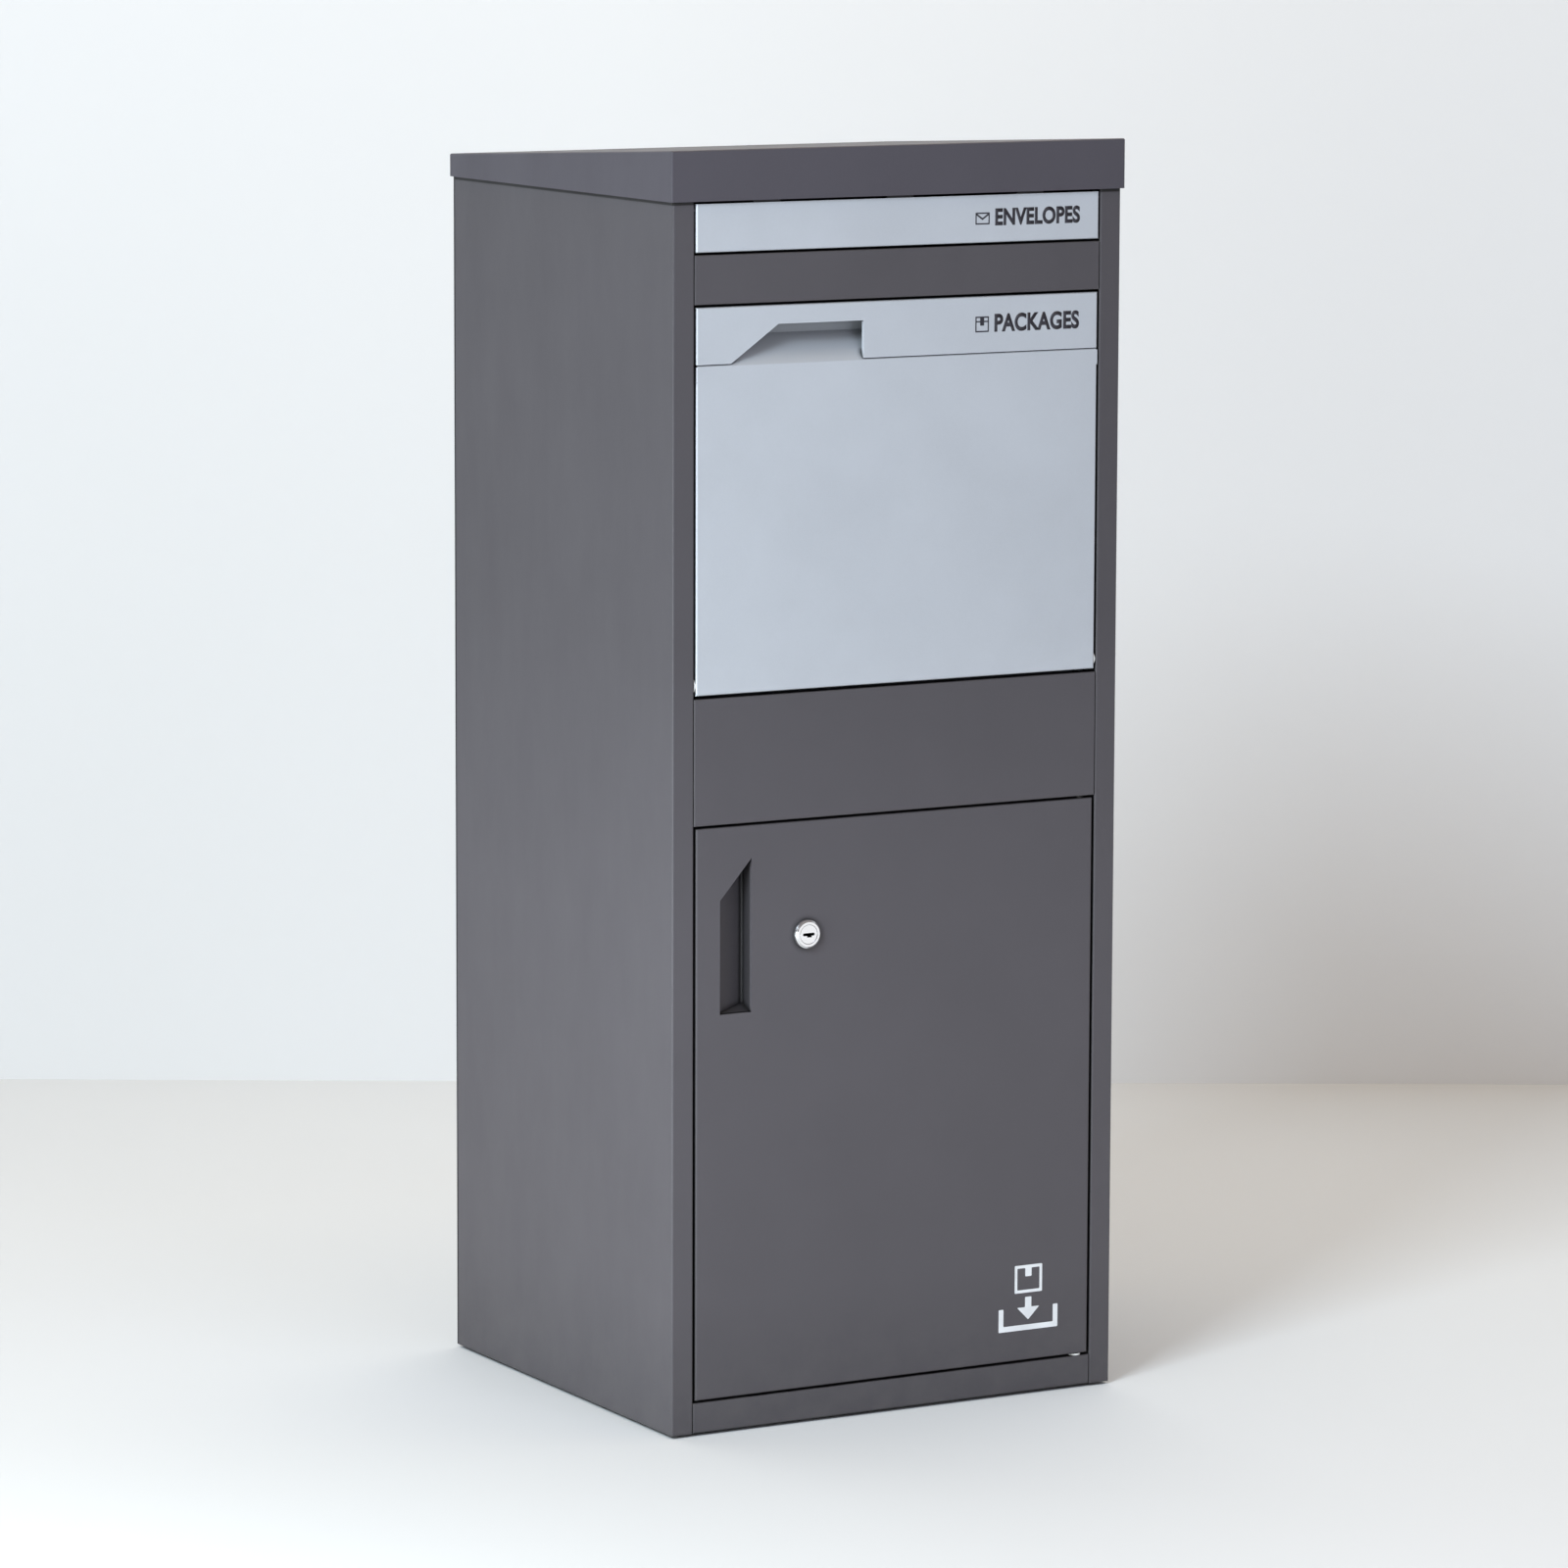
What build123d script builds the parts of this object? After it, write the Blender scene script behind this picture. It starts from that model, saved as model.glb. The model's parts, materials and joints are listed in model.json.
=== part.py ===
# Parcel drop box: a letter flap and a tilting parcel hopper above a locked vault, in folded steel.
#
# Millimetres. +Z is up, +X is right and -Y is the front. The origin is on the floor, under the
# middle of the box that just holds the whole object. Depths are counted backwards from the
# cabinet's front plane, heights from the floor, and x from the middle of the cabinet.
from build123d import *

import os
from math import atan2, cos, degrees, radians, sin, tan

# ---- Driving dimensions -------------------------------------------------------------------------
body_width = 408.0
body_depth = 377.0
total_height = 1020.0
lid_rear_height = 998.6
lid_side_overhang = 2.6
lid_end_overhang = 2.3
lock_proud = 4.6

sheet = 1.0  # every folded panel
bend = 1.5  # outside radius of a visible fold
seam_bend = 1.2  # outside radius where a rail meets a post
doubled = 2.4  # thickness round a finger window, where a second sheet backs the first
running = 0.05  # radial clearance of a pin in its hole

# Heights of the edges, from the floor up
skirt_level = 2.5
bottom_rail_top = 27.0
door_bottom, door_top = 28.8, 488.2
fascia_bottom, fascia_top = 490.0, 590.8
parcel_bottom, parcel_seam, parcel_top = 593.3, 851.6, 897.8
letter_rail_bottom, letter_rail_top = 899.6, 938.4
flap_bottom, flap_top = 940.2, 978.0
lid_skirt_level = 980.1
top_rail_bottom, top_rail_top = 981.0, 1008.0

# Posts and rails
post_width = 19.2
post_depth = 18.0
post_lip = 10.0
rear_flange = 15.0
rail_depth = 20.0
letter_rail_depth = 22.0
stop_lip = 14.0  # how far a door stop reaches past its rail
hopper_stop_level = 889.0  # lower edge of the stop behind the parcel door
base_level = 3.5
base_flange = 15.0
back_top = 994.0

# Doors
flap_half_width = 183.7
parcel_half_width = 183.2
door_half_width = 182.8
door_flange = 14.0
flap_flange = 9.0
parcel_flange = 15.0
parcel_foot = 8.0  # bottom return of the parcel door
trough_depth = 18.0  # finger trough behind the parcel door's cap
trough_rise = 23.0

# Axes
flap_axis = (4.6, 973.5)  # depth, height
hopper_axis = (6.0, 601.3)
hopper_travel = 45.0
hinge_inset = 9.0  # the lower door's hinge, in from its right edge
hinge_depth = 5.8
lock_x, lock_level = -83.2, 397.4

# Fasteners and pins
flap_rod_radius = 2.0
pin_radius = 3.0
small_rivet_radius = 1.6
large_rivet_radius = 2.0
anchor_radius, anchor_x, anchor_y = 4.5, 140.0, 120.0
wall_radius, wall_x, wall_levels = 4.25, 150.0, (200.0, 800.0)
foot_radius, foot_x, foot_depths = 15.0, 175.0, (65.0, 340.0)

# ---- Derived places -----------------------------------------------------------------------------
half = body_width / 2
opening = half - post_width  # half of the clear width between the posts
skin = half - sheet  # inside face of a side panel
front = -(body_depth + lid_end_overhang - lock_proud) / 2  # y of the cabinet's front plane
lid_slope = atan2(total_height - lid_rear_height, body_depth + 2 * lid_end_overhang)
hinge_x = door_half_width - hinge_inset
side_plate = parcel_half_width - sheet  # outside face of a hopper side plate
rivet_x = half - rear_flange / 2
back_rivet_levels = (60.0, 280.0, 500.0, 720.0, 940.0)
rail_rivet_depth = 11.0
rail_rivet_levels = (14.8, 515.0, 566.0, 919.0, 995.0)
hopper_rivet_depth = 9.0
hopper_rivet_levels = (625.0, 695.0, 765.0, 832.0)
rail_rivet_places = [(rail_rivet_depth, level) for level in rail_rivet_levels]
hopper_rivet_places = [(hopper_rivet_depth, level) for level in hopper_rivet_levels]

section = Plane(origin=(0, front, 0), x_dir=(0, 1, 0), z_dir=(1, 0, 0))  # takes (depth, height)
roof_normal = (0, sin(lid_slope), cos(lid_slope))
roof_fall = (0, cos(lid_slope), -sin(lid_slope))


def plan(level):
    """A level plane that takes (x, depth)."""
    return Plane(origin=(0, front, level))


def face_on(depth):
    """An upright plane seen from the front, which takes (x, height)."""
    return Plane(origin=(0, front + depth, 0), x_dir=(1, 0, 0), z_dir=(0, -1, 0))


def roof_level(depth, below=0.0):
    """Height of the lid's top at a depth, or of a plane that lies below it."""
    return total_height - (depth + lid_end_overhang) * tan(lid_slope) - below / cos(lid_slope)


# ---- Shared operations --------------------------------------------------------------------------
def block(x, depth, z, mode=Mode.ADD):
    """A box between two limits along each axis, on the part being built."""
    middle = ((x[0] + x[1]) / 2, front + (depth[0] + depth[1]) / 2, (z[0] + z[1]) / 2)
    with Locations(middle):
        Box(x[1] - x[0], depth[1] - depth[0], z[1] - z[0], mode=mode)


def bore(places, direction, radius, length, mode=Mode.SUBTRACT):
    """Round holes, or pins, centred on places (x, depth, height)."""
    planes = [Plane(origin=(x, front + d, z), z_dir=direction) for x, d, z in places]
    with Locations(*planes):
        Cylinder(radius, length, mode=mode)


def folded(plane, corners, radius=bend, side=Side.LEFT):
    """Section of a folded sheet: one face runs through the corners and the other lies beside it."""
    with BuildSketch(plane) as strip:
        with BuildLine():
            FilletPolyline(*corners, radius=radius)
            offset(amount=sheet, side=side)
        make_face()
    return strip.sketch


def pan(x, z, depth, radius=bend):
    """A front face with all four edges folded backwards, open at the back."""
    with BuildPart() as tray:
        block(x, (0, depth), z)
        fillet(tray.faces().sort_by(Axis.Y)[0].edges(), radius)
        inside_x = (x[0] + sheet, x[1] - sheet)
        inside_z = (z[0] + sheet, z[1] - sheet)
        block(inside_x, (sheet, depth), inside_z, mode=Mode.SUBTRACT)
    return tray.part


def revolved(outline, plane, axis):
    """A turned solid from its half section."""
    with BuildPart() as turned:
        with BuildSketch(plane):
            with BuildLine():
                Polyline(*outline, close=True)
            make_face()
        revolve(axis=axis)
    return turned.part


def rivet(radius, grip):
    """A blind rivet: its head stands on z = 0 and its shank runs down through the grip."""
    head, dome, tail, bulge = 2.0 * radius, 0.55 * radius, 0.8 * radius, 1.3 * radius
    outline = [
        (0, dome),
        (0.5 * head, dome),
        (head, 0.3 * dome),
        (head, 0),
        (radius, 0),
        (radius, -grip),
        (bulge, -grip),
        (bulge, -grip - 0.6 * tail),
        (0.6 * bulge, -grip - tail),
        (0, -grip - tail),
    ]
    return revolved(outline, Plane.XZ, Axis.Z)


def nut(across_flats, height, bore_radius):
    """A hexagon nut that stands on z = 0."""
    with BuildPart() as hexagon:
        with BuildSketch():
            RegularPolygon(across_flats / 2, 6, major_radius=False)
            Circle(bore_radius, mode=Mode.SUBTRACT)
        extrude(amount=height)
    return hexagon.part


def both_sides(piece):
    """A piece and its mirror image across the middle of the cabinet, as one part."""
    with BuildPart() as pair:
        add(piece)
        mirror(piece, about=Plane.YZ)
    return pair.part


# ---- Cabinet: side panels, each with its front post and rear flange -----------------------------
with BuildPart() as left_side_panel:
    side_outline = [
        (-half + rear_flange, body_depth - sheet),
        (-half, body_depth - sheet),
        (-half, 0),
        (-opening, 0),
        (-opening, post_depth),
        (-opening - post_lip, post_depth),
    ]
    extrude(folded(plan(skirt_level), side_outline), amount=total_height)
    under_lid = Plane(origin=(0, front, roof_level(0, below=4.0)), z_dir=roof_normal)
    split(bisect_by=under_lid, keep=Keep.BOTTOM)
    post_wall = -opening - sheet / 2
    flap_rod_hole = [(post_wall, *flap_axis)]
    hopper_pin_hole = [(post_wall, *hopper_axis)]
    rail_holes = [(post_wall, *place) for place in rail_rivet_places]
    flange_holes = [(-rivet_x, body_depth - 1.5 * sheet, level) for level in back_rivet_levels]
    bore(flap_rod_hole, (1, 0, 0), flap_rod_radius + running, 3 * sheet)
    bore(hopper_pin_hole, (1, 0, 0), pin_radius + running, 3 * sheet)
    bore(rail_holes, (1, 0, 0), small_rivet_radius + running, 3 * sheet)
    bore(flange_holes, (0, 1, 0), large_rivet_radius + running, 3 * sheet)

with BuildPart() as right_side_panel:
    mirror(left_side_panel.part, about=Plane.YZ)

# ---- Cabinet: back panel and base tray ----------------------------------------------------------
with BuildPart() as back_panel:
    block((-half, half), (body_depth - sheet, body_depth), (skirt_level, back_top))
    back_middle = body_depth - sheet / 2
    wall_holes = [(x, back_middle, level) for x in (-wall_x, wall_x) for level in wall_levels]
    rivet_holes = [(x, back_middle, z) for x in (-rivet_x, rivet_x) for z in back_rivet_levels]
    bore(wall_holes, (0, 1, 0), wall_radius, 3 * sheet)
    bore(rivet_holes, (0, 1, 0), large_rivet_radius + running, 3 * sheet)

with BuildPart() as base_tray:
    tray_z = (base_level, base_level + base_flange)
    tray_back = body_depth - 2 * sheet - 0.8
    block((-skin, skin), (rail_depth, tray_back), tray_z)
    fillet(base_tray.faces().sort_by(Axis.Z)[0].edges(), bend)
    tray_inside = (rail_depth + sheet, tray_back - sheet)
    inside_z = (base_level + sheet, base_level + base_flange)
    block((-skin + sheet, skin - sheet), tray_inside, inside_z, mode=Mode.SUBTRACT)
    anchor_places = [(x, y - front, base_level) for x in (-anchor_x, anchor_x) for y in (-anchor_y, anchor_y)]
    bore(anchor_places, (0, 0, 1), anchor_radius, 4 * sheet)

with BuildPart() as feet:
    foot_outline = [
        (0, 0),
        (foot_radius - 0.8, 0),
        (foot_radius, 0.8),
        (foot_radius - 0.4, base_level),
        (0, base_level),
    ]
    with Locations(*[(x, front + d, 0) for x in (-foot_x, foot_x) for d in foot_depths]):
        add(revolved(foot_outline, Plane.XZ, Axis.Z))

# ---- Cabinet: the rails across the front --------------------------------------------------------
rail_x = (-opening, opening)
lip_x = (-opening + sheet, opening - sheet)
rail_end_places = [(x, *place) for x in (-opening, opening) for place in rail_rivet_places]

with BuildPart() as bottom_rail:
    add(pan(rail_x, (skirt_level, bottom_rail_top), rail_depth, seam_bend))
    block(lip_x, (rail_depth - sheet, rail_depth), (bottom_rail_top - sheet, bottom_rail_top + stop_lip))
    block(lip_x, (rail_depth - sheet, 2 * rail_depth), (skirt_level, base_level))
    bore([(hinge_x, hinge_depth, bottom_rail_top)], (0, 0, 1), pin_radius + running, 4 * sheet)
    bore(rail_end_places, (1, 0, 0), small_rivet_radius + running, 4 * sheet)

with BuildPart() as middle_fascia:
    add(pan(rail_x, (fascia_bottom, fascia_top), rail_depth, seam_bend))
    block(lip_x, (rail_depth / 2, rail_depth), (fascia_top - sheet, fascia_top), mode=Mode.SUBTRACT)
    block(lip_x, (rail_depth - sheet, rail_depth), (fascia_bottom - stop_lip, fascia_bottom + sheet))
    bore([(hinge_x, hinge_depth, fascia_bottom)], (0, 0, 1), pin_radius + running, 4 * sheet)
    bore(rail_end_places, (1, 0, 0), small_rivet_radius + running, 4 * sheet)

with BuildPart() as letter_rail:
    add(pan(rail_x, (letter_rail_bottom, letter_rail_top), letter_rail_depth, seam_bend))
    stop_z = (hopper_stop_level, letter_rail_bottom + sheet)
    block(lip_x, (letter_rail_depth - sheet, letter_rail_depth), stop_z)
    bore(rail_end_places, (1, 0, 0), small_rivet_radius + running, 4 * sheet)

with BuildPart() as top_cross_rail:
    add(pan(rail_x, (top_rail_bottom, top_rail_top), rail_depth, seam_bend))
    flap_stop_front = sheet + 0.2
    flap_stop_level = flap_axis[1] + 3.2
    for stop_x in (-120.0, 0.0, 120.0):
        stop_depths = (flap_stop_front, flap_stop_front + sheet)
        block((stop_x - 12, stop_x + 12), stop_depths, (flap_stop_level, top_rail_bottom + sheet))
    bore(rail_end_places, (1, 0, 0), small_rivet_radius + running, 4 * sheet)

with BuildPart() as rear_cross_rail:
    channel = [
        (body_depth - sheet - 20, 960.0),
        (body_depth - sheet, 960.0),
        (body_depth - sheet, 986.0),
        (body_depth - sheet - 20, 986.0),
    ]
    extrude(folded(section, channel), amount=half - rear_flange - sheet, both=True)

with BuildPart() as front_rail_rivets:
    for hand in (-1, 1):
        planes = [
            Plane(origin=(hand * (opening - sheet), front + d, level), z_dir=(-hand, 0, 0))
            for d, level in rail_rivet_places
        ]
        with Locations(*planes):
            add(rivet(small_rivet_radius, 2 * sheet))

with BuildPart() as back_panel_rivets:
    back_seats = [
        Plane(origin=(x, front + body_depth, level), z_dir=(0, 1, 0))
        for x in (-rivet_x, rivet_x)
        for level in back_rivet_levels
    ]
    with Locations(*back_seats):
        add(rivet(large_rivet_radius, 2 * sheet))

# ---- Cabinet: roof lid, its brackets, studs and nuts --------------------------------------------
bracket_leg, bracket_sheet, bracket_length = 22.0, 1.5, 30.0
bracket_depths = (45.0, 300.0)
stud_radius, stud_length, stud_inset = 2.5, 12.0, 12.0


def lid_block(inset, radius):
    """The lid's outline, drawn in on every face but its open bottom."""
    near, far = inset - lid_end_overhang, body_depth + lid_end_overhang - inset
    with BuildPart() as wedge:
        with BuildSketch(section):
            with BuildLine():
                Polyline(
                    (near, lid_skirt_level),
                    (near, roof_level(near, below=inset)),
                    (far, roof_level(far, below=inset)),
                    (far, lid_skirt_level),
                    close=True,
                )
            make_face()
        extrude(amount=half + lid_side_overhang - inset, both=True)
        upper = wedge.edges().filter_by(lambda edge: edge.center().Z > lid_skirt_level + 1)
        fillet(upper, radius)
    return wedge.part


def under_roof(x, depth):
    """A plane on the lid's underside whose normal points down and square to it."""
    spot = (x, front + depth, roof_level(depth, below=sheet))
    return Plane(origin=spot, x_dir=(1, 0, 0), z_dir=(0, -sin(lid_slope), -cos(lid_slope)))


with BuildPart() as roof_lid:
    add(lid_block(0, bend))
    add(lid_block(sheet, bend - sheet), mode=Mode.SUBTRACT)

stud_x = skin - stud_inset
stud_depths = [depth + bracket_length / 2 for depth in bracket_depths]
stud_planes = [under_roof(x, depth) for x in (-stud_x, stud_x) for depth in stud_depths]

with BuildPart() as left_brackets:
    for bracket_depth in bracket_depths:
        corner = (-skin, front + bracket_depth, roof_level(bracket_depth, below=sheet))
        with BuildSketch(Plane(origin=corner, x_dir=(1, 0, 0), z_dir=roof_fall)):
            with BuildLine():
                Polyline(
                    (0, 0),
                    (bracket_leg, 0),
                    (bracket_leg, bracket_sheet),
                    (bracket_sheet, bracket_sheet),
                    (bracket_sheet, bracket_leg),
                    (0, bracket_leg),
                    close=True,
                )
            make_face()
        extrude(amount=bracket_length)

with BuildPart() as roof_lid_brackets:
    add(both_sides(left_brackets.part))
    with Locations(*stud_planes):
        Cylinder(stud_radius + 0.3, 4 * bracket_sheet, mode=Mode.SUBTRACT)

with BuildPart() as roof_lid_studs:
    with Locations(*stud_planes):
        Cylinder(stud_radius, stud_length, align=(Align.CENTER, Align.CENTER, Align.MIN))

with BuildPart() as roof_lid_nuts:
    with Locations(*[plane.offset(bracket_sheet) for plane in stud_planes]):
        add(nut(8.0, 4.0, stud_radius + running))

# ---- Cabinet: letter chute and the baffle that keeps hands out of the vault ---------------------
chute_slope = radians(22.0)
chute_end = 300.0
chute_top = letter_rail_top - sheet
chute_drop = (chute_end - letter_rail_depth) * tan(chute_slope)
chute_side = 12.0

with BuildPart() as letter_chute:
    chute_line = [
        (8.0, chute_top - sheet),
        (letter_rail_depth, chute_top - sheet),
        (chute_end, chute_top - sheet - chute_drop),
        (chute_end, chute_top - sheet - chute_drop - 10.0),
    ]
    extrude(folded(section, chute_line), amount=skin, both=True)
    for hand in (-1, 1):
        wall = Plane(origin=(hand * skin, front, 0), x_dir=(0, 1, 0), z_dir=(1, 0, 0))
        with BuildSketch(wall):
            with BuildLine():
                Polyline(
                    (letter_rail_depth + 3, chute_top - 3 * tan(chute_slope) - sheet),
                    (letter_rail_depth + 3, chute_top + chute_side),
                    (chute_end, chute_top - chute_drop + chute_side),
                    (chute_end, chute_top - chute_drop - sheet),
                    close=True,
                )
            make_face()
        extrude(amount=-hand * sheet)
        outside = sorted((hand * lip_x[1], hand * half))
        block(outside, (0, letter_rail_depth + 1), (chute_top - 20, chute_top + 5), mode=Mode.SUBTRACT)

with BuildPart() as anti_theft_baffle:
    baffle_line = [
        (body_depth - sheet, 750.0),
        (body_depth - sheet, 725.0),
        (245.0, 615.0),
        (245.0, 603.0),
    ]
    extrude(folded(section, baffle_line, side=Side.RIGHT), amount=skin, both=True)
    for hand in (-1, 1):
        corner_x = sorted((hand * (half - rear_flange - sheet), hand * half))
        block(corner_x, (body_depth - 2.5 * sheet, body_depth), (700, 760), mode=Mode.SUBTRACT)

# ---- Letter flap: a spring-shut flap that hangs on a rod and opens inwards ----------------------
flap_tube_radius = 3.5
flap_tube_half = 150.0
spring_wire = 0.4
spring_radius = 2.75
spring_turns = 8
spring_pitch = 2.6

with BuildPart() as letter_flap:
    flap_x = (-flap_half_width, flap_half_width)
    add(pan(flap_x, (flap_bottom, flap_top + 5), flap_flange))
    block((-half, half), (-1, rail_depth), (flap_top, flap_top + 6), mode=Mode.SUBTRACT)
    bore([(0, *flap_axis)], (1, 0, 0), flap_rod_radius + 2 * running, body_width)

with BuildPart() as letter_flap_tube:
    with BuildSketch(section):
        with Locations(flap_axis):
            Circle(flap_tube_radius)
            Circle(flap_rod_radius + 2 * running, mode=Mode.SUBTRACT)
    extrude(amount=flap_tube_half, both=True)

with BuildPart() as letter_flap_rod:
    bore([(0, *flap_axis)], (1, 0, 0), flap_rod_radius, 2 * (opening + 4), mode=Mode.ADD)

with BuildPart() as flap_rod_clips:
    clip_x = opening + sheet + 0.4
    bore([(x, *flap_axis) for x in (-clip_x, clip_x)], (1, 0, 0), 3.0, 0.8, mode=Mode.ADD)
    bore([(0, *flap_axis)], (1, 0, 0), flap_rod_radius, body_width)

with BuildPart() as spring_coil:
    coil_start = flap_tube_half + 4
    coil_end = (coil_start, front + flap_axis[0], flap_axis[1])
    with BuildLine() as coil:
        Helix(spring_pitch, spring_pitch * spring_turns, spring_radius, center=coil_end, direction=(1, 0, 0))
    with BuildSketch(Plane(origin=coil.line @ 0, z_dir=coil.line % 0)):
        Circle(spring_wire)
    sweep(path=coil.line, is_frenet=True)

with BuildPart() as spring_leg:
    leg_top = (coil_start, front + flap_axis[0] - spring_radius, flap_axis[1] + spring_wire)
    with Locations(Plane(origin=leg_top, z_dir=(0, 0, -1))):
        Cylinder(spring_wire, 24.0, align=(Align.CENTER, Align.CENTER, Align.MIN))

with BuildPart() as letter_flap_springs:
    add(spring_coil.part)
    add(spring_leg.part)
    mirror(spring_coil.part, about=Plane.YZ)
    mirror(spring_leg.part, about=Plane.YZ)

# ---- Hopper: the parcel door, its cap with the finger window, side plates and floor -------------
pivot_line = Plane(origin=(0, front + hopper_axis[0], hopper_axis[1]), x_dir=(0, 1, 0), z_dir=(1, 0, 0))
plate_radius = 285.0
ear_radius = 294.0
plate_rear_angle = 38.0
floor_reach = 155.0
floor_lift = 10.0
bush_radius = 4.5
bush_flange = 5.5

stop_angle = degrees(atan2(hopper_stop_level - hopper_axis[1], letter_rail_depth - hopper_axis[0]))
stop_gap = degrees(0.4 / ear_radius)
ear_angle = stop_angle - hopper_travel - stop_gap


def polar(radius, angle):
    """A point about the hopper's axis; the angle rises from straight back towards straight up."""
    return (radius * cos(radians(angle)), radius * sin(radians(angle)))


with BuildPart() as parcel_door_panel:
    parcel_x = (-parcel_half_width, parcel_half_width)
    add(pan(parcel_x, (parcel_bottom, parcel_seam + 20), parcel_flange))
    block((-half, half), (-1, rail_depth), (parcel_seam - 3, parcel_seam + 25), mode=Mode.SUBTRACT)
    foot_cut = (parcel_foot, parcel_flange)
    block((-side_plate, side_plate), foot_cut, (parcel_bottom, parcel_bottom + sheet), mode=Mode.SUBTRACT)
    trough_line = [
        (0, parcel_seam - 12),
        (0, parcel_seam),
        (trough_depth, parcel_seam + trough_rise),
        (trough_depth, parcel_top - sheet),
    ]
    extrude(folded(section, trough_line, side=Side.RIGHT), amount=parcel_half_width, both=True)
    for hand in (-1, 1):
        edge_x = sorted((hand * side_plate, hand * half))
        block(edge_x, (-1, rail_depth), (parcel_seam - 0.3, parcel_top), mode=Mode.SUBTRACT)
    bore([(0, *hopper_axis)], (1, 0, 0), bush_radius + running, body_width)
    bore([(0, *place) for place in hopper_rivet_places], (1, 0, 0), small_rivet_radius + running, body_width)

with BuildPart() as parcel_handle_cap:
    cap_bottom = parcel_seam + 1.5
    add(pan(parcel_x, (parcel_seam - 10, parcel_top), trough_depth + sheet))
    block((-half, half), (-1, rail_depth), (parcel_seam - 11, cap_bottom), mode=Mode.SUBTRACT)
    window_right, window_left, window_tip = -33.4, -110.1, -152.5
    window_top = parcel_seam + 31.2
    with BuildSketch(face_on(-1)):
        with BuildLine():
            Polyline(
                (window_tip, cap_bottom),
                (window_left, window_top),
                (window_right, window_top),
                (window_right, cap_bottom),
                close=True,
            )
        make_face()
    extrude(amount=-2.5 * sheet, mode=Mode.SUBTRACT)
    brace = 6.0
    clear_of_trough = cap_bottom + 0.3 + (doubled - sheet) * trough_rise / trough_depth
    block((window_left, window_right), (sheet / 2, doubled), (window_top, window_top + brace))
    with BuildSketch(Plane(origin=(window_right, front, 0), x_dir=(0, 1, 0), z_dir=(1, 0, 0))):
        with BuildLine():
            Polyline(
                (sheet / 2, cap_bottom),
                (sheet, cap_bottom),
                (doubled, clear_of_trough),
                (doubled, window_top + brace),
                (sheet / 2, window_top + brace),
                close=True,
            )
        make_face()
    extrude(amount=brace)

with BuildPart() as hopper_side_left:
    plate_plane = pivot_line.offset(-side_plate)
    with BuildSketch(plate_plane):
        with BuildLine():
            plate_front = polar(plate_radius, stop_angle)
            rear_corner = polar(plate_radius, plate_rear_angle)
            CenterArc((0, 0), plate_radius, plate_rear_angle, stop_angle - plate_rear_angle)
            Polyline(
                plate_front,
                (plate_front[0], 270),
                (-4.8, 245),
                (-4.8, -6.8),
                (6, -6.8),
                (152, -152),
                rear_corner,
            )
        make_face()
        with BuildLine():
            Polyline(
                polar(plate_radius - 5, plate_rear_angle + 0.6),
                polar(ear_radius, plate_rear_angle + 1.2),
                polar(ear_radius, ear_angle),
                polar(plate_radius - 5, ear_angle),
                close=True,
            )
        make_face()
        Circle(bush_radius + running, mode=Mode.SUBTRACT)
    extrude(amount=sheet)
    bore([(-side_plate, *place) for place in hopper_rivet_places], (1, 0, 0), small_rivet_radius + running, 5)

with BuildPart() as hopper_side_right:
    mirror(hopper_side_left.part, about=Plane.YZ)

with BuildPart() as hopper_floor:
    floor_line = [
        (sheet - hopper_axis[0] + sheet, 42.0),
        (sheet - hopper_axis[0] + sheet, floor_lift - sheet + hopper_axis[0] - sheet),
        (floor_reach, floor_lift - floor_reach),
    ]
    floor_half = side_plate - sheet
    extrude(folded(pivot_line, floor_line, side=Side.RIGHT), amount=floor_half, both=True)
    for hand in (-1, 1):
        with BuildSketch(pivot_line.offset(hand * floor_half)):
            with BuildLine():
                Polyline(
                    (20, floor_lift - 20),
                    (34, floor_lift - 20),
                    (floor_reach, floor_lift - floor_reach + 14),
                    (floor_reach, floor_lift - floor_reach),
                    close=True,
                )
            make_face()
        extrude(amount=-hand * sheet)

with BuildPart() as hopper_pivot_bushes:
    for hand in (-1, 1):
        sleeve_ends = [hand * (floor_half - sheet), hand * (parcel_half_width + sheet)]
        flange_ends = [hand * parcel_half_width, hand * (parcel_half_width + sheet)]
        for (near, far), radius in ((sleeve_ends, bush_radius), (flange_ends, bush_flange)):
            bore([((near + far) / 2, *hopper_axis)], (1, 0, 0), radius, abs(far - near), mode=Mode.ADD)
    bore([(0, *hopper_axis)], (1, 0, 0), pin_radius + running, body_width)

with BuildPart() as hopper_pivot_pins:
    for hand in (-1, 1):
        shank_middle = hand * (opening + sheet - 3)
        head_middle = hand * (opening + sheet + 1.25)
        bore([(shank_middle, *hopper_axis)], (1, 0, 0), pin_radius, 6.0, mode=Mode.ADD)
        bore([(head_middle, *hopper_axis)], (1, 0, 0), 4.4, 2.5, mode=Mode.ADD)

with BuildPart() as hopper_rivets:
    for hand in (-1, 1):
        planes = [
            Plane(origin=(hand * (side_plate - sheet), front + d, level), z_dir=(-hand, 0, 0))
            for d, level in hopper_rivet_places
        ]
        with Locations(*planes):
            add(rivet(small_rivet_radius, 2 * sheet))

with BuildPart() as hopper_bumpers:
    bumper_front = trough_depth + sheet + 0.3
    bumper_back = letter_rail_depth - sheet
    bumper_middle = (bumper_front + bumper_back) / 2
    places = [(x, bumper_middle, hopper_stop_level + 4.5) for x in (-130.0, 130.0)]
    bore(places, (0, 1, 0), 4.0, bumper_back - bumper_front, mode=Mode.ADD)

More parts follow.
